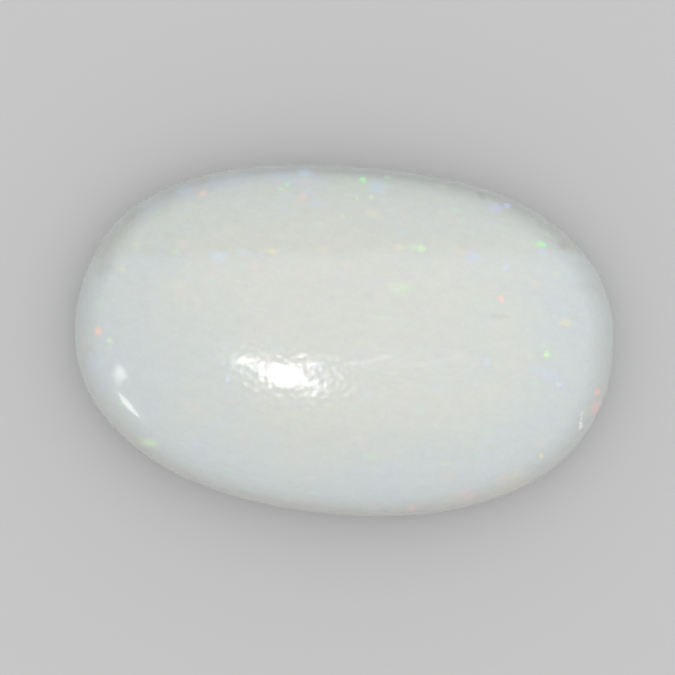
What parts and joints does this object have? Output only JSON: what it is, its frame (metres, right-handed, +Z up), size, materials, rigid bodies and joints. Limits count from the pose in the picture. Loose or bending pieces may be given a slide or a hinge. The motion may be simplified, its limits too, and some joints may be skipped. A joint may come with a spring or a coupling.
{
  "type": "polished opal cabochon",
  "caption": "Oval white opal with faint play of colour, cut as a low polished dome over a rounded girdle and a flat ground back.",
  "frame": {"origin": "in the plane of the flat back, under the centre of the stone's bounding box", "axes": "+X along the stone's length, +Y across it, +Z up from the flat back through the crown of the dome"},
  "size_m": [0.018, 0.0116, 0.0052],
  "materials": {
    "opal": "polished"
  },
  "bodies": {
    "root": {"opal_stone": "opal"}
  },
  "joints": []
}
